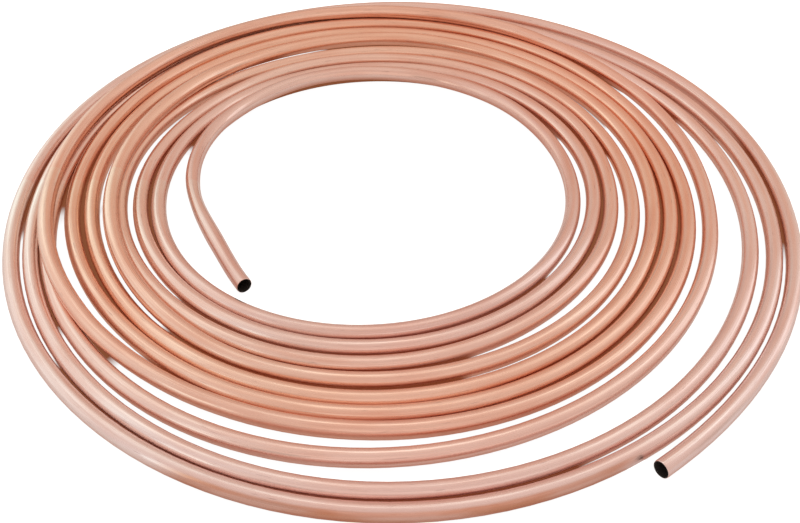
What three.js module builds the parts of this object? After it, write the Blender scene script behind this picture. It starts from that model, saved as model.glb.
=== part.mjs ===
import * as THREE from 'three';

// Soft copper tube wound into one loose flat coil, both ends cut square. Millimetres, +Z up.

// Tube
const tubeDiameter = 12.7;        // nominal outside diameter, 1/2 in
const tubeWall = 0.81;            // 0.032 in
const flattening = 0.045;         // winding narrows the section by this share and heightens it as much
// Coil
const eyeRadius = 160;            // of the open middle, out to the first turn's centre line
const looseness = 1.7;            // mean daylight between neighbouring turns
const turnClearance = 0.3;        // least daylight between them
const woundTurns = 10.8;          // from the inner end to the outer end
const innerEndBearing = 228.8;    // degrees counter-clockwise from +X, seen from above
// Facets
const stepsPerTurn = 31;
const outerSides = 10;
const boreSides = 8;
// Settling of turns that press into each other
const settleRounds = 500;         // at most
const giveWay = 0.55;             // share of what is missing between two turns that each gives in a round
const settled = 0.9999;           // share of the full distance at which two turns are left alone

// How far each turn wanders out (or in, where negative) from an even spiral, one row a turn, innermost
// first, in units of wanderStep. The tube winds clockwise, so each row runs on into the next.
// Bearings of the columns:
//  240 210 180 150 120  90  60  30   0 330 300 270
const wanderStep = 0.5;
const wander = [
  [38, 8, 25, 36, 16, -10, -31, -51, -54, -45, -27, 2],
  [31, 47, 45, 30, 6, -15, -31, -46, -50, -44, -23, 3],
  [28, 43, 46, 29, 13, -10, -30, -42, -51, -43, -24, 4],
  [28, 44, 53, 40, 10, -10, -27, -44, -46, -34, -16, 5],
  [25, 34, 27, 15, 16, 10, -16, -32, -41, -32, -13, 8],
  [26, 32, 41, 42, 31, 7, -19, -39, -43, -34, -15, 4],
  [19, 31, 42, 37, 26, 12, -12, -40, -45, -35, -16, 1],
  [17, 41, 42, 34, 20, -4, -25, -27, -37, -30, -10, 13],
  [29, 24, 11, 5, -8, -20, -34, -30, -13, 3, 22, 35],
  [35, 22, 7, 1, -13, -24, -39, -25, -6, 9, 23, 34],
  [32, 21, 8, -3, -17, -24, -26, -13, -4, 8, 27, 76],
];
// Where a turn rides up over its neighbours: turn number, then its rise at the same bearings, where 1
// is the height of the tube
const rides = [
  { turn: 1, rise: [0, 0, 0, 0, 0.25, 0.15, 0, 0, 0, 0, 0, 0] },
  { turn: 5, rise: [0, 0.7, 1, 1, 0.4, 0.15, 0.05, 0, 0, 0, 0, 0] },
  { turn: 7, rise: [0, 0, 0, 0.3, 0.3, 0.1, 0, 0, 0, 0, 0, 0] },
  { turn: 8, rise: [0, 0.75, 0.93, 1, 1, 0.82, 0.68, 0.08, 0, 0, 0, 0] },
];

// Smooth value of a table of equally spaced readings at any place along it
function along(readings, place) {
  const last = readings.length - 1;
  const i = THREE.MathUtils.clamp(Math.floor(place), 0, last - 1);
  const f = place - i;
  const [a, b, c, d] = [i - 1, i, i + 1, i + 2].map((j) => readings[THREE.MathUtils.clamp(j, 0, last)]);
  return b + 0.5 * f * (c - a + f * (2 * a - 5 * b + 4 * c - d + f * (3 * (b - c) + d - a)));
}

// Every turn's readings, run together. A turn past the last row wanders as that row does.
const bearings = wander[0].length;
const firstBearing = 240;
const turns = Array.from({ length: Math.max(wander.length, Math.ceil(woundTurns) + 1) }, (_, i) => ({
  wander: wander[i] ?? wander.at(-1),
  rise: rides.find((r) => r.turn === i + 1)?.rise ?? Array(bearings).fill(0),
}));
const allWander = turns.flatMap((t) => t.wander);
const allRise = turns.flatMap((t) => t.rise);

// Section's half axes, across the coil and upright
const halfWidth = (tubeDiameter * (1 - flattening)) / 2;
const halfHeight = (tubeDiameter * (1 + flattening)) / 2;

// Stations down the middle of the tube. All turns share their bearings, so neighbours lie side by side.
const turnPitch = tubeDiameter + looseness;
const stepCount = Math.round(woundTurns * stepsPerTurn);
const stations = Array.from({ length: stepCount + 1 }, (_, i) => {
  const turned = firstBearing - innerEndBearing + (i * 360) / stepsPerTurn;
  const place = (turned / 360) * bearings;
  return {
    turned,
    out: eyeRadius + (turnPitch * turned) / 360 + wanderStep * along(allWander, place),
    up: Math.max(0, along(allRise, place)) * 2 * halfHeight,
  };
});

// Turns that would press into each other settle: they move apart, and a riding turn is lifted
for (let round = 0, moved = true; moved && round < settleRounds; round++) {
  moved = false;
  stations.forEach((s, i) => {
    for (const o of [stations[i + stepsPerTurn], stations[i + 2 * stepsPerTurn]]) {
      if (!o) continue;
      const x = (o.out - s.out) / (2 * halfWidth + turnClearance);
      const y = (o.up - s.up) / (2 * halfHeight + turnClearance);
      const apart = Math.hypot(x, y);
      if (apart > settled) continue;
      const push = (giveWay * (1 - apart)) / apart;
      s.out -= push * x * 2 * halfWidth;
      o.out += push * x * 2 * halfWidth;
      (y >= 0 ? o : s).up += 2 * push * Math.abs(y) * 2 * halfHeight;
      moved = true;
    }
  });
}

// The centre line passes through its stations at even parameter steps, so an extrusion keeps them.
// Each straight step touches the round turn at its middle, so its ends stand out by roundOut.
class CentreLine extends THREE.CatmullRomCurve3 {
  getUtoTmapping(u) { return u; }
}
const roundOut = 1 / Math.cos(Math.PI / stepsPerTurn);
const centreLine = new CentreLine(stations.map(({ turned, out, up }) => {
  const bearing = THREE.MathUtils.degToRad(firstBearing - turned);
  const reach = out * roundOut;
  return new THREE.Vector3(reach * Math.cos(bearing), reach * Math.sin(bearing), up + halfHeight);
}));

// Section of the tube, x down and y across: an oval whose top and bottom are flats at its full height
function oval(sides, high, wide) {
  const flatHigh = high / Math.cos(Math.PI / sides);
  return Array.from({ length: sides }, (_, i) => {
    const a = (Math.PI / sides) * (2 * i + 1);
    return new THREE.Vector2(flatHigh * Math.cos(a), wide * Math.sin(a));
  });
}
const section = new THREE.Shape(oval(outerSides, halfHeight, halfWidth));
section.holes.push(new THREE.Path(oval(boreSides, halfHeight - tubeWall, halfWidth - tubeWall)));

const copper = new THREE.MeshStandardMaterial({
  name: 'annealed_copper',
  color: 0xc98a6b,
  metalness: 0.9,
  roughness: 0.38,
});
const tube = new THREE.Mesh(
  new THREE.ExtrudeGeometry(section, { steps: stepCount, extrudePath: centreLine, bevelEnabled: false }),
  copper,
);
tube.name = 'copper_tube';
tube.geometry.computeBoundingBox();
const middle = tube.geometry.boundingBox.getCenter(new THREE.Vector3());
tube.position.set(-middle.x, -middle.y, -tube.geometry.boundingBox.min.z);

const coil = new THREE.Group();
coil.name = 'copper_tube_coil';
coil.add(tube);
export default coil;
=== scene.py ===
# %% [markdown]
# A coil of soft copper tube, half an inch across, of the kind that plumbers and refrigeration
# fitters unroll. It is one piece of tube, wound flat and loose in nearly eleven turns, with a
# square cut at each end. Two of the turns have climbed over their neighbours. Everything here is
# in metres, with +Z up and the floor at zero, and one frame holds the solid model and the looks.

import bpy
import numpy as np
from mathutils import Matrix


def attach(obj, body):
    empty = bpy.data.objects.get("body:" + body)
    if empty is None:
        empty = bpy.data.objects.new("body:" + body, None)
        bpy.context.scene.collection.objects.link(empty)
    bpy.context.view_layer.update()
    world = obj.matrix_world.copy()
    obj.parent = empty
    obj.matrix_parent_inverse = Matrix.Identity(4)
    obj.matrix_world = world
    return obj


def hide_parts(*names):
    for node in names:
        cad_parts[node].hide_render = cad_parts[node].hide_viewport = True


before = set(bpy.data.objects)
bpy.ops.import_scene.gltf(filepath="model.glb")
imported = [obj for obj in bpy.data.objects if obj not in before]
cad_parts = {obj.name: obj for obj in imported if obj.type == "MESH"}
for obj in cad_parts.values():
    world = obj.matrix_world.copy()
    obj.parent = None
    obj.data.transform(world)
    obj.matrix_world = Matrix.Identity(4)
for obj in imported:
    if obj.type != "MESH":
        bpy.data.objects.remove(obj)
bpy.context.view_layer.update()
mm = 0.001

# %% [markdown]
# The camera comes first, so that every later step can be judged through it. It stands in front of
# the coil at a little under half a metre's height and looks 43 degrees down, through a slightly
# long lens.

# %% Camera
camera_data = bpy.data.cameras.new("camera")
camera_data.sensor_width = 36.0
camera_data.lens = 41.57
camera_data.clip_start = 0.01
camera = bpy.data.objects.new("camera", camera_data)
camera.location = (-0.0012, -0.6066, 0.4849)
camera.rotation_euler = (np.radians(47.05), 0.0, 0.0)
bpy.context.scene.collection.objects.link(camera)
bpy.context.scene.camera = camera
print("camera at", tuple(camera.location))

# %% [markdown]
# A few helpers serve every material. Colours are written the way a paint card gives them, as sRGB
# hex, and turned into the linear light that a renderer adds up. A node is added together with its
# settings and its links, so that a material reads from top to bottom as a list.


# %% Helpers for materials
def linear(code):
    """sRGB hex to linear RGBA: c / 12.92 below 0.04045, else ((c + 0.055) / 1.055) to the 2.4."""
    c = np.array([int(code[i : i + 2], 16) for i in (1, 3, 5)]) / 255
    return (*np.where(c <= 0.04045, c / 12.92, ((c + 0.055) / 1.055) ** 2.4), 1.0)


def add(tree, kind, settings=None, **inputs):
    """Add one node. Settings are its own properties. Inputs are sockets by name or by _number, and
    take a value, another socket, or another node, which gives its first output that is in use."""
    node = tree.nodes.new(kind)
    for name, value in (settings or {}).items():
        setattr(node, name, value)
    for name, value in inputs.items():
        key = int(name[1:]) if name[0] == "_" else name.replace("_", " ")
        if isinstance(value, bpy.types.Node):
            value = next(output for output in value.outputs if output.enabled)
        if isinstance(value, bpy.types.NodeSocket):
            tree.links.new(value, node.inputs[key])
        else:
            node.inputs[key].default_value = value
    return node


def set_stops(ramp, stops):
    """Give a colour ramp these stops, each a position from 0 to 1 and a linear colour."""
    elements = ramp.color_ramp.elements
    elements.remove(elements[-1])
    for k, (position, colour) in enumerate(stops.items()):
        stop = elements.new(position) if k else elements[0]
        stop.position, stop.color = position, colour


def new_material(name):
    """An empty node material and its tree."""
    material = bpy.data.materials.new(name)
    material.use_nodes = True
    material.node_tree.nodes.clear()
    return material, material.node_tree


# Settings that come back: a mix of two colours, one colour as a filter on another, a soft step
paint = {"data_type": "RGBA"}
tinted = {"data_type": "RGBA", "blend_type": "MULTIPLY"}
soft_step = {"interpolation_type": "SMOOTHSTEP"}
product = {"operation": "MULTIPLY"}
scaled_sum = {"operation": "MULTIPLY_ADD"}
print("mid grey in linear light", round(float(linear("#808080")[0]), 3))

# %% [markdown]
# The coil lies on a matt white board in a light tent. A satin metal has no look of its own: it
# shows what stands round it. So the tent is the most important thing after the metal. The board is
# made white to the eye, which leaves the coil's shadow on it very faint. To the copper's own gloss
# it is darker, a painted shade for the tubes to reflect, so that their lower sides keep their shape.
# Beside a tube and down in a groove it has tones of its own, which two numbers on the strips of
# board further on call for: painted shade beside a tube, with a warm painted reflection there for
# the copper, and dark brown painted shade down in a shut groove.

# %% Floor
board, tree = new_material("matt_white_board")
path = add(tree, "ShaderNodeLightPath")
groove = add(tree, "ShaderNodeAttribute", {"attribute_name": "groove"}).outputs["Fac"]
beside = add(tree, "ShaderNodeAttribute", {"attribute_name": "beside"}).outputs["Fac"]


def board_tone(on_open_board, beside_tube, in_groove):
    """One colour on the open board, another right beside a tube, and a third down in a groove."""
    near_tube = add(tree, "ShaderNodeMix", paint, _0=beside, _6=on_open_board, _7=beside_tube)
    return add(tree, "ShaderNodeMix", paint, _0=groove, _6=near_tube, _7=in_groove)


white = linear("#FCFCFC")
brown = linear("#864E33")          # light that has come off copper more than once
# The board's own colour carries painted shade: darker beside a tube and nearly black in a groove
matt = add(tree, "ShaderNodeBsdfDiffuse",
           Color=board_tone(linear("#C8C8C8"), linear("#4A4440"), linear("#1A0D0A")))
# To the copper the board is grey with a warm painted reflection beside a tube; to both it is brown painted
# shade in a groove
to_copper = board_tone(linear("#909090"), linear("#BF9A89"), brown)
to_eye = board_tone(white, white, brown)
shown = path.outputs["Is Camera Ray"]
seen = add(tree, "ShaderNodeMix", paint, _0=shown, _6=to_copper, _7=to_eye)
for ray in ("Is Glossy Ray", "Is Transmission Ray"):
    shown = add(tree, "ShaderNodeMath", {"operation": "MAXIMUM"}, _0=shown, _1=path.outputs[ray])
glow = add(tree, "ShaderNodeEmission", Color=seen, Strength=shown)
both = add(tree, "ShaderNodeAddShader", _0=matt, _1=glow)
add(tree, "ShaderNodeOutputMaterial", Surface=both)

floor_mesh = bpy.data.meshes.new("floor")
half_floor = 7.0
floor_top = -0.2 * mm              # a hair under the tube, so that the two never share a face
corners = [(x * half_floor, y * half_floor, floor_top) for x, y in ((-1, -1), (1, -1), (1, 1), (-1, 1))]
floor_mesh.from_pydata(corners, [], [(0, 1, 2, 3)])
floor = bpy.data.objects.new("floor", floor_mesh)
floor_mesh.materials.append(board)
bpy.context.scene.collection.objects.link(floor)
print("floor", 2 * half_floor, "m square")

# %% [markdown]
# The tent itself is the world. Its cloth is warm and pale, a little dimmer at the back, and a few
# cooler or darker zones stand for its seams and its opening. They give each tube the long soft bands
# that run along it.

# %% Light tent
world = bpy.data.worlds.new("light_tent")
world.use_nodes = True
tree = world.node_tree
tree.nodes.clear()
direction = add(tree, "ShaderNodeTexCoord")
split = add(tree, "ShaderNodeSeparateXYZ", Vector=direction.outputs["Generated"])
depth = add(tree, "ShaderNodeMapRange", Value=split.outputs["Y"], From_Min=-1.0)
# How bright the cloth is from straight in front, 0, to straight behind, 1, where paper white is 1
cloth_levels = {0: 0.93, 0.07: 0.93, 0.2: 0.84, 0.3: 0.79, 0.42: 0.83, 0.5: 0.87, 0.72: 0.87, 0.85: 0.79,
                1: 0.69}
tent = add(tree, "ShaderNodeValToRGB", Fac=depth)
set_stops(tent, {at: (level, level, level, 1) for at, level in cloth_levels.items()})
turn = add(tree, "ShaderNodeMath", {"operation": "ARCTAN2"}, _0=split.outputs["X"], _1=split.outputs["Y"])
zones = (  # bearing and half width in degrees, top as a sine, how strong, and its tone
    (-80, 65, 0.98, 1.0, "#EFF7FF"),
    (11, 26, 0.76, 1.0, "#E5D6CE"),
    (0, 26, 0.34, 0.45, "#A0A0A0"),
    (-153, 11, 0.55, 0.4, "#7C7C7C"),
    (99, 9, 0.4, 0.35, "#7C7C7C"),
)
soft_top = 0.15                    # a zone fades over this much below its top
for at, half, top, amount, tone in zones:
    off = add(tree, "ShaderNodeMath", {"operation": "SUBTRACT"}, _0=turn, _1=np.radians(at))
    off = add(tree, "ShaderNodeMath", {"operation": "ABSOLUTE"}, _0=off)
    aside = add(tree, "ShaderNodeMapRange", soft_step, Value=off, From_Min=np.radians(0.5 * half),
                From_Max=np.radians(half), To_Min=amount, To_Max=0.0)
    below = add(tree, "ShaderNodeMapRange", soft_step, Value=split.outputs["Z"],
                From_Min=top - soft_top, From_Max=top, To_Min=1.0, To_Max=0.0)
    share = add(tree, "ShaderNodeMath", product, _0=aside, _1=below)
    tent = add(tree, "ShaderNodeMix", paint, _0=share, _6=tent, _7=linear(tone))
tent = add(tree, "ShaderNodeMix", tinted, _0=1.0, _6=tent, _7=linear("#FFEEE3"))   # the warm cloth
sky = add(tree, "ShaderNodeBackground", Color=tent, Strength=1.0)
add(tree, "ShaderNodeOutputWorld", Surface=sky)
bpy.context.scene.world = world
bpy.context.scene.view_settings.view_transform = "Standard"
print("tent", len(cloth_levels), "levels and", len(zones), "zones")

# %% [markdown]
# Soft panels stand close to the coil, two on its left, one at its front left corner and one on its
# right, and three strips hang overhead. A panel that is near stands in a different direction from
# each part of the coil, so that its glint moves along from turn to turn as it does in a small tent.


# %% Lamps
def softbox(name, at, aim, width, tall, level, colour="#FFFFFF", beam=180):
    """A rectangle of light, so many metres wide and tall, that stands at one point and is
    aimed at another. level is its brightness along its axis, where paper white is 1: its watts are
    that times pi times its area. Slats may narrow its beam to so many degrees. At an angle a off
    the axis it then gives 1 - tan a / tan h of its level, where h is half the beam, and its watts
    are multiplied by (tan h - h) / tan h."""
    data = bpy.data.lights.new(name, "AREA")
    data.shape = "RECTANGLE"
    data.size, data.size_y = width, tall
    data.energy = level * np.pi * width * tall
    if beam < 180:
        half = np.radians(beam / 2)
        data.spread = 2 * half
        data.energy *= (np.tan(half) - half) / np.tan(half)
    data.color = linear(colour)[:3]
    lamp = bpy.data.objects.new(name, data)
    back = np.subtract(at, aim)
    back /= np.linalg.norm(back)
    lamp.location = at
    lamp.rotation_euler = (np.pi / 2 - np.arcsin(back[2]), 0.0, np.pi - np.arctan2(back[0], back[1]))
    lamp.visible_camera = False
    bpy.context.scene.collection.objects.link(lamp)
    return lamp


softbox("side_panel_left", at=(-0.62, 0.1, 0.3), aim=(0, 0.1, 0.28), width=0.9, tall=0.6, level=0.3,
        colour="#B8E6E3")
softbox("back_panel_left", at=(-0.56, 0.36, 0.32), aim=(-0.25, 0, 0), width=0.4, tall=0.6, level=0.35,
        colour="#B4E6E3", beam=110)
softbox("front_panel_left", at=(-0.62, -0.62, 0.24), aim=(-0.15, -0.2, 0), width=0.2, tall=0.4,
        level=0.75, colour="#B8E2E3", beam=90)
softbox("side_panel_right", at=(0.83, 0.12, 0.42), aim=(0.2, -0.05, 0.1), width=0.36, tall=0.84,
        level=0.6, colour="#BCD7E3", beam=130)
overhead = {"left": (-0.43, 0.62, 0.48), "middle": (0, 0.7, 0.72), "right": (0.43, 0.62, 0.52)}
for side, (x, height, level) in overhead.items():
    softbox("overhead_strip_" + side, at=(x, 0.04, height), aim=(0.35 * x, -0.35, 0), width=0.42,
            tall=0.3, level=level, colour="#CCEBE3", beam=84)

# %% [markdown]
# The tube's route is what makes this coil look like itself. A neat spiral would be wrong: the real
# turns wander, gaps open between some of them, and two turns ride on top of others. So each turn
# has its own row of distances from the coil's middle, read every 30 degrees, and a smooth curve
# runs through them all.

# %% Sizes of the tube and the coil
half_width, half_height = 6.1, 6.6        # winding leaves the half inch section slightly oval, in mm
wall = 0.81
eye_radius, turn_pitch = 160, 14.4        # open middle, and the mean step from turn to turn, in mm
wound = 10.804                            # turns
inner_end_bearing = 228.2                 # degrees, seen from above, counter-clockwise from +X
coil_middle = np.array([-0.63, 10.24, 0.0])  # in mm, in the part's frame
steps_per_turn = 144
first_bearing, reading_step = 240, 30     # degrees: where each row of readings starts, and its step

# How far each turn wanders from an even spiral, in half millimetres, one row a turn, read at
#  240 210 180 150 120  90  60  30   0 330 300 270 degrees, innermost first
wander = np.array([
    [38, 8, 25, 36, 16, -10, -31, -51, -55, -44, -24, 3],
    [31, 47, 45, 30, 6, -15, -31, -46, -49, -42, -23, 3],
    [28, 43, 46, 29, 13, -10, -30, -42, -50, -42, -24, 4],
    [28, 44, 53, 40, 10, -10, -27, -44, -47, -35, -16, 5],
    [25, 34, 27, 15, 16, 10, -16, -32, -41, -32, -13, 8],
    [26, 32, 41, 42, 31, 7, -19, -39, -43, -34, -15, 4],
    [19, 31, 42, 37, 26, 12, -12, -40, -45, -35, -16, 1],
    [17, 41, 42, 34, 20, -4, -25, -27, -37, -30, -10, 13],
    [29, 24, 11, 5, -8, -20, -34, -30, -13, 3, 22, 35],
    [35, 22, 7, 1, -13, -24, -39, -25, -6, 9, 23, 34],
    [32, 21, 8, -3, -17, -24, -26, -13, -4, 9, 28, 76],
])
# How far a turn rides up over its neighbours, where 1 is the tube's own height
ride = np.zeros(wander.shape)
ride[0] = [0, 0, 0, 0, 0.25, 0.15, 0, 0, 0, 0, 0, 0]
ride[4] = [0, 0.7, 1, 1, 0.4, 0.15, 0.05, 0, 0, 0, 0, 0]
ride[6] = [0, 0, 0, 0.3, 0.3, 0.1, 0, 0, 0, 0, 0, 0]
ride[7] = [0, 0.75, 0.93, 1, 1, 0.82, 0.68, 0.08, 0, 0, 0, 0]
print("turns", len(wander), "readings a turn", wander.shape[1])


# %% The tube's route
def through(readings, place):
    """Natural cubic spline: between readings i and i + 1 the height is the straight line between
    them less the bend, whose second differences m solve m[i-1] + 4 m[i] + m[i+1] = 6 times the
    readings' own second difference."""
    n = len(readings)
    bend = np.zeros(n)
    a = 4 * np.eye(n - 2) + np.eye(n - 2, k=1) + np.eye(n - 2, k=-1)
    bend[1:-1] = np.linalg.solve(a, 6 * np.diff(readings, 2))
    i = np.clip(place.astype(int), 0, n - 2)
    t = place - i
    line = (1 - t) * readings[i] + t * readings[i + 1]
    return line + ((1 - t) ** 3 - (1 - t)) * bend[i] / 6 + (t**3 - t) * bend[i + 1] / 6


def settle(out, up, clearance=0.05, rounds=600):
    """Neighbouring turns that would cut into each other move apart. Two tubes are as far apart as
    the length of (dx / width, dz / height), and wherever that is under 1 each gives way by half of
    what is missing, along the line between them. The lower one stays on the table."""
    for _ in range(rounds):
        for shift in (steps_per_turn, 2 * steps_per_turn):
            x = (out[shift:] - out[:-shift]) / (2 * half_width + clearance)
            z = (up[shift:] - up[:-shift]) / (2 * half_height + clearance)
            apart = np.maximum(np.hypot(x, z), 1e-6)
            push = 0.5 * np.maximum(1 - apart, 0) / apart
            out[shift:] += push * x * 2 * half_width
            out[:-shift] -= push * x * 2 * half_width
            lift = 2 * push * np.abs(z) * 2 * half_height
            up[shift:] += np.where(z >= 0, lift, 0)
            up[:-shift] += np.where(z < 0, lift, 0)
    return out, up


step_count = round(wound * steps_per_turn)
turned = first_bearing - inner_end_bearing + 360 * wound * np.linspace(0, 1, step_count + 1)
place = turned / reading_step
spiral = eye_radius + turn_pitch * turned / 360
# The inner end was pulled straight by hand: its shift outward in mm, every 6 degrees from the cut
pull, pull_step = np.array([2.0, 0.95, -0.1, -0.75, -1.0, -0.85, -0.45, -0.1, 0.0]), 6
from_cut = (turned - turned[0]) / pull_step
pulled = np.where(from_cut < len(pull) - 1, through(pull, from_cut), 0)
out, up = settle(spiral + 0.5 * through(wander.ravel(), place) + pulled,
                 2 * half_height * np.maximum(through(ride.ravel(), place), 0))
bearing = np.radians(first_bearing - turned)
route = np.stack([out * np.cos(bearing), out * np.sin(bearing), up + half_height], axis=1) + coil_middle
length = np.concatenate([[0], np.cumsum(np.linalg.norm(np.diff(route, axis=0), axis=1))])
print("tube", round(length[-1] / 1000, 2), "m, highest rise", round(float(up.max()), 1), "mm")

# %% [markdown]
# Between the turns the board hardly sees the tent. Light gets down there only by way of the copper,
# so a shut groove is dark brown where an open gap is white. A renderer could find this out with
# thousands of bounces. Here strips of board lie from each turn to the next instead and carry it as
# painted shade: each point knows how near it is to a tube and whether its gap is open. Wide gaps are
# found from the route. The narrow ones that are open all the same are listed.


# %% Strips of board between the turns
strip_top = -0.15                  # mm, between the floor and the tube
strip_columns = 9
shade_reach = 5                    # mm over which a tube's shade on the board falls to a third
gap_shut, gap_softness = 4.4, 1.2  # a gap this wide in mm starts to open, and is open this much later


def board_strip(name, r0, r1, at, inner_edge, outer_edge, opened=1.0):
    """A strip on the board from radius r0 to radius r1 at each bearing. With e0 and e1 the distances
    to the edges of the tubes at its two sides, and e the smaller of them, beside is
    exp(-e / shade_reach). The gap lets light in where it is listed as open, or where e0 + e1, with
    0.8 e more where e is under a tube's belly and so below 0, passes gap_shut. groove is 1 less how
    open the gap is."""
    t = np.linspace(0, 1, strip_columns)
    r = r0[:, None] + (r1 - r0)[:, None] * t
    e0, e1 = r - inner_edge[:, None], outer_edge[:, None] - r
    e = np.minimum(e0, e1)
    wide = np.clip((e0 + e1 + 0.8 * np.minimum(e, 0) - gap_shut) / gap_softness, 0, 1)
    listed_open = np.broadcast_to(opened, len(r))[:, None]
    values = {"groove": 1 - np.maximum(wide, listed_open), "beside": np.exp(-np.maximum(e, 0) / shade_reach)}
    x, y = r * np.cos(at)[:, None], r * np.sin(at)[:, None]
    points = np.stack([x, y, 0 * r + strip_top], -1) + coil_middle
    i = np.arange(r.size).reshape(r.shape)
    faces = np.stack([i[:-1, :-1], i[:-1, 1:], i[1:, 1:], i[1:, :-1]], -1)[:, :, ::-1]
    mesh = bpy.data.meshes.new(name)
    mesh.from_pydata((points.reshape(-1, 3) * mm).tolist(), [], faces.reshape(-1, 4).tolist())
    for key, value in values.items():
        layer = mesh.attributes.new(key, "FLOAT", "POINT")
        layer.data.foreach_set("value", value.astype(np.float32).ravel())
    mesh.materials.append(board)
    strip = bpy.data.objects.new(name, mesh)
    bpy.context.scene.collection.objects.link(strip)


n = steps_per_turn
# Where the gap outside a turn is open to the light, in degrees turned from the first turn's first
# reading outward, and over how many degrees it opens or closes
open_stretches = [(10, 75), (215, 285), (740, 800), (948, 1035), (1295, 1398), (1455, 1490),
                  (2172, 2212), (2364, 2535), (2740, 2905), (3108, 3187), (3260, 3288), (3496, 3560)]
opening = 2


def rising(start):
    """0 before this many degrees turned and 1 after it, straight across the opening."""
    return np.clip((turned[:-n] - start) / opening + 0.5, 0, 1)


strip_width, far_off = 30, 1000    # mm
opened = sum(rising(start) * (1 - rising(stop)) for start, stop in open_stretches)
inner, outer = out[:-n], out[n:]
board_strip("board_between", inner, outer, bearing[:-n], inner + half_width, outer - half_width, opened)
last, first = out[-n:], out[:n]
board_strip("board_outside", last, last + strip_width, bearing[-n:], last + half_width, last + far_off)
board_strip("board_inside", first - strip_width, first, bearing[:n], first - far_off, first - half_width)
gap = outer - inner - 2 * half_width
print("narrowest and widest gap", round(float(gap.min()), 1), round(float(gap.max()), 1), "mm")

# %% [markdown]
# The tube itself is the section carried along that route. It is one closed skin: the outside from
# the inner end to the outer end, round the cut rim, back along the bore, and round the other rim.
# A grid does this in one go, with one row for each ring and one column for each side of the
# section. The cutter leaves the rim very slightly rolled in, with a fine bright corner.


# %% Sweep
def frames(points):
    """Along a route: the tangent, the level direction across it, and the direction square to both."""
    ahead = np.gradient(points, axis=0)
    ahead /= np.linalg.norm(ahead, axis=1, keepdims=True)
    across = np.cross([0.0, 0.0, 1.0], ahead)
    across /= np.linalg.norm(across, axis=1, keepdims=True)
    return ahead, across, np.cross(ahead, across)


# Where the inner end was bent by hand, its section is this share narrower, and half as much wider
# nearer the cut. Each place is in mm from the cut, with how far it spreads
bend_share = 0.12
narrow_at, narrow_spread = 113, 22
wide_at, wide_spread = 62, 18
# The cut rim as pairs of mm from the cut and mm below the outside, from the outside round to the bore
rim = np.array([[1.2, 0.0], [0.5, 0.05], [0.18, 0.12], [0.05, 0.22], [0.0, 0.34],
                [0.0, wall - 0.14], [0.08, wall], [0.8, wall + 0.02]])
rim_length = 2                     # mm at each end that the rim's own rings take over


def tube_skin(points, length, sides):
    """Vertex (ring, side) = middle + across (a - d) cos v + over (b - d) sin v, where a and b are
    the oval's half axes, d how deep the ring lies inside the tube, and v the angle round it.
    Returns the vertices, the same vertices with the tube laid out straight, the direction round
    the tube at each, and d."""
    total = length[-1]
    plain = length[(length > rim_length) & (length < total - rim_length)]
    near, far = rim * [1, 1], rim * [-1, 1] + [total, 0]
    rings = np.concatenate([
        np.stack([plain, 0 * plain], 1), far,
        np.stack([plain[::-1], 0 * plain + wall], 1), near[::-1],
    ])
    along, deep = rings[:, :1], rings[:, 1:2]
    middle = np.stack([np.interp(rings[:, 0], length, points[:, k]) for k in range(3)], 1)
    ahead, across, over = [np.stack([np.interp(rings[:, 0], length, f[:, k]) for k in range(3)], 1)
                           for f in frames(points)]
    v = 2 * np.pi * np.arange(sides) / sides
    bent = np.exp(-(((along - narrow_at) / narrow_spread) ** 2))
    bent = bent - 0.5 * np.exp(-(((along - wide_at) / wide_spread) ** 2))
    a = (half_width * (1 - bend_share * bent) - deep) * np.cos(v)
    b = (half_height - deep) * np.sin(v)
    skin = middle[:, None] + across[:, None] * a[..., None] + over[:, None] * b[..., None]
    straight = np.stack([np.broadcast_to(along, a.shape), a, b], axis=-1)
    round_it = over[:, None] * np.cos(v)[:, None] - across[:, None] * np.sin(v)[:, None]
    return skin, straight, round_it, rings[:, 1]


def grid_mesh(name, skin):
    """A mesh from a grid of points that closes on itself both ways."""
    rows, columns = skin.shape[:2]
    i = np.arange(rows * columns).reshape(rows, columns)
    faces = np.stack([i, np.roll(i, -1, 1), np.roll(np.roll(i, -1, 1), -1, 0), np.roll(i, -1, 0)], -1)
    mesh = bpy.data.meshes.new(name)
    mesh.from_pydata((skin.reshape(-1, 3) * mm).tolist(), [], faces.reshape(-1, 4).tolist())
    mesh.polygons.foreach_set("use_smooth", np.ones(len(mesh.polygons), bool))
    return mesh


section_sides = 28
skin, straight, round_it, deep = tube_skin(route, length, section_sides)
tube_mesh = grid_mesh("soft_copper_tube", skin)
layout = tube_mesh.attributes.new("laid_straight", "FLOAT_VECTOR", "POINT")
layout.data.foreach_set("vector", (straight * mm).astype(np.float32).ravel())
girth = tube_mesh.attributes.new("round_the_tube", "FLOAT_VECTOR", "POINT")
girth.data.foreach_set("vector", round_it.astype(np.float32).ravel())
bore_from = 0.3                    # mm: faces whose two rings both lie deeper than this are bore
in_bore = np.minimum(deep, np.roll(deep, -1)) > bore_from
tube_mesh.polygons.foreach_set("material_index", np.repeat(in_bore, skin.shape[1]).astype(np.int32))
tube = bpy.data.objects.new("soft_copper_tube", tube_mesh)
bpy.context.scene.collection.objects.link(tube)
print("faces", len(tube_mesh.polygons))

# %% [markdown]
# Soft copper tube is drawn through a die and then annealed. The die leaves fine lines along it, some
# bright and some dull, so its gloss is drawn out across the tube and stays crisp along it: that is
# anisotropy, and it needs to know which way is round the tube. Annealing leaves a thin film that
# shifts the pink of clean copper towards orange in clouds, and handling adds fine scuffs. All these
# patterns are laid out on the tube as if it were straight, so that they follow it through every bend.

# %% Annealed copper
copper, tree = new_material("annealed_copper")
laid = add(tree, "ShaderNodeAttribute", {"attribute_name": "laid_straight"})
around = add(tree, "ShaderNodeAttribute", {"attribute_name": "round_the_tube"})
layout = add(tree, "ShaderNodeSeparateXYZ", Vector=laid.outputs["Vector"])


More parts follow.
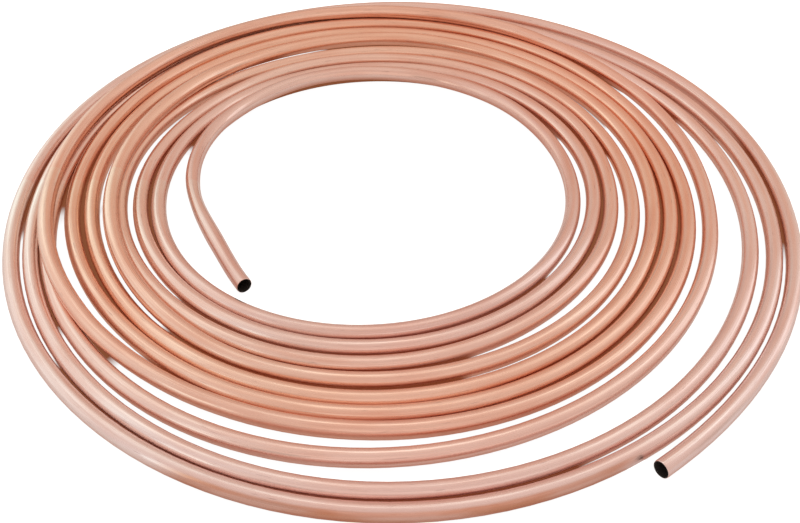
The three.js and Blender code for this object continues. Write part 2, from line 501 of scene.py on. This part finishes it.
def pattern(along_mm, across_mm, detail, low, high, start=0.0):
    """Noise whose grains are this long along the tube and this wide across it, then stretched so
    that its values from low to high become 0 to 1."""
    spread = add(tree, "ShaderNodeMapping", Vector=laid.outputs["Vector"], Location=(start, 0, 0),
                 Scale=(1000 / along_mm, 1000 / across_mm, 1000 / across_mm))
    noise = add(tree, "ShaderNodeTexNoise", Vector=spread, Scale=1.0, Detail=detail)
    return add(tree, "ShaderNodeMapRange", Value=noise.outputs["Fac"], From_Min=low, From_Max=high)


def over(colour, value, strength, code, way=paint):
    """Lay a colour over another, where a value is high and at most this strongly."""
    share = add(tree, "ShaderNodeMath", product, _0=value, _1=strength)
    return add(tree, "ShaderNodeMix", way, _0=share, _6=colour, _7=linear(code))


lines = pattern(90, 0.9, 2, 0.35, 0.65)               # draw lines, drawn coarser so that they show
clouds = pattern(55, 7, 3, 0.42, 0.72)                # annealing film
smears = pattern(160, 9, 2, 0.5, 0.75, start=3.1)     # where hands and spool have rubbed it
scuffs = pattern(14, 0.7, 1, 0.70, 0.80, start=7.7)   # fine scratches along the tube
waves = pattern(28, 5, 1, 0.2, 0.8, start=1.3)        # the tube is never quite true

# The tube's tone shifts along it. Here it is given by turns from the inner end
turn_tones = {1: "#ECCBC0", 2.3: "#F1D2C6", 4: "#F3CDBA", 5.5: "#F5CBB4", 7: "#F3C8B2", 8: "#F3CDBC",
              9: "#F4D8CE", 10.5: "#F1D6CD"}
places = np.interp([(t - 0.5) * 360 for t in turn_tones], turned, length) / length[-1]
tube_share = add(tree, "ShaderNodeMath", {"operation": "DIVIDE"}, _0=layout.outputs["X"],
                 _1=length[-1] * mm)
tone = add(tree, "ShaderNodeValToRGB", Fac=tube_share)
set_stops(tone, {float(at): linear(code) for at, code in zip(places, turn_tones.values())})

# It also shifts round the coil, by these shares of green and blue at so many degrees round it. This
# is painted light and shade: a tint that stands in for how the tent lights each side of the coil.
# Why isn't known: uneven heat or uneven light would both do it. The stops don't meet at 180
# degrees, which leaves a step in tone there
painted_light_tint = {-180: (1.11, 1.12), -150: (0.99, 1.0), -120: (1.07, 1.12), -90: (1.0, 1.05), -38: (1.07, 1.13),
          0: (0.96, 0.92), 35: (0.90, 0.86), 90: (0.97, 0.94), 130: (1.03, 1.03), 180: (1.0, 1.0)}
place = add(tree, "ShaderNodeSeparateXYZ", Vector=add(tree, "ShaderNodeTexCoord").outputs["Object"])
around_coil = add(tree, "ShaderNodeMath", {"operation": "ARCTAN2"}, _0=place.outputs["Y"],
                  _1=place.outputs["X"])
around_coil = add(tree, "ShaderNodeMapRange", Value=around_coil, From_Min=-np.pi, From_Max=np.pi)
shift = add(tree, "ShaderNodeValToRGB", Fac=around_coil)
set_stops(shift, {(at + 180) / 360: (1, green, blue, 1) for at, (green, blue) in painted_light_tint.items()})
colour = add(tree, "ShaderNodeMix", tinted, _0=1.0, _6=tone, _7=shift)
colour = over(colour, lines, 0.35, "#F2E4E0", tinted)
colour = over(colour, clouds, 0.5, "#F4DCD2", tinted)
colour = over(colour, smears, 0.35, "#F0D9CF", tinted)
colour = over(colour, scuffs, 0.6, "#A07D76")

# %% [markdown]
# Near the outer end a stretch of the tenth turn is darker and more orange, low on the side that faces out.
# Two windows cut it out of the straightened tube: one along its length and one across its section.


# %% Darker patch
def window(value, low, high, soft):
    """1 where a value lies from low to high, and smoothly down to 0 over this much beyond."""
    up = add(tree, "ShaderNodeMapRange", soft_step, Value=value, From_Min=low - soft, From_Max=low)
    down = add(tree, "ShaderNodeMapRange", soft_step, Value=value, From_Min=high, From_Max=high + soft,
               To_Min=1.0, To_Max=0.0)
    return add(tree, "ShaderNodeMath", product, _0=up, _1=down)


patch_start, patch_end = np.interp([3548, 3592], turned, length) * mm   # from degrees turned
patch_fade = 40 * mm
lean = -0.35                       # how far the band leans down from straight outward
band_low, band_high, band_fade = 2.6 * mm, 20 * mm, 2.2 * mm
outward = add(tree, "ShaderNodeMath", product, _0=layout.outputs["Z"], _1=lean)
outward = add(tree, "ShaderNodeMath", {"operation": "ADD"}, _0=layout.outputs["Y"], _1=outward)
darker_patch = add(tree, "ShaderNodeMath", product, _0=window(layout.outputs["X"], patch_start, patch_end, patch_fade),
           _1=window(outward, band_low, band_high, band_fade))
patch_strength = add(tree, "ShaderNodeMath", scaled_sum, _0=clouds, _1=0.45, _2=0.65)
darker_patch = add(tree, "ShaderNodeMath", product, _0=darker_patch, _1=patch_strength)
colour = add(tree, "ShaderNodeMix", paint, _0=darker_patch, _6=colour, _7=linear("#CB8E73"))

# %% [markdown]
# Roughness follows the draw lines, 0.13 in the bright ones and up to 0.39 in the dull ones, and
# smears dull it by a tenth more. Slow waves of at most a tenth of a millimetre bend its reflections.

# %% Gloss and relief
gloss = add(tree, "ShaderNodeMath", scaled_sum, _0=lines, _1=0.26, _2=0.13)
gloss = add(tree, "ShaderNodeMath", scaled_sum, _0=smears, _1=0.10, _2=gloss)
relief = add(tree, "ShaderNodeBump", Height=waves, Strength=0.5, Distance=0.1 * mm)
shader = add(tree, "ShaderNodeBsdfPrincipled", Base_Color=colour, Metallic=1.0, Roughness=gloss,
             Anisotropic=0.6, Tangent=around.outputs["Vector"], Normal=relief)
add(tree, "ShaderNodeOutputMaterial", Surface=shader)
tube_mesh.materials.append(copper)
print("copper nodes", len(tree.nodes))

# %% [markdown]
# Inside, the tube is given a dull, nearly black colour: painted shade for the dark bore. Little
# light gets in, so a plain rough surface with a fine mottle is enough.

# %% Dark bore, painted shade
dark, tree = new_material("dark_bore_painted_shade")
laid = add(tree, "ShaderNodeAttribute", {"attribute_name": "laid_straight"})
bore_mottle = pattern(3, 0.8, 3, 0.3, 0.7)
colour = add(tree, "ShaderNodeMix", paint, _0=bore_mottle, _6=linear("#1D1A1A"), _7=linear("#2E2725"))
shader = add(tree, "ShaderNodeBsdfPrincipled", Base_Color=colour, Metallic=0.0, Roughness=0.75)
add(tree, "ShaderNodeOutputMaterial", Surface=shader)
tube_mesh.materials.append(dark)
print("materials", [material.name for material in tube_mesh.materials])

# %% Tie the looks to the solid model
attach(tube, "root")
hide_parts("copper_tube")
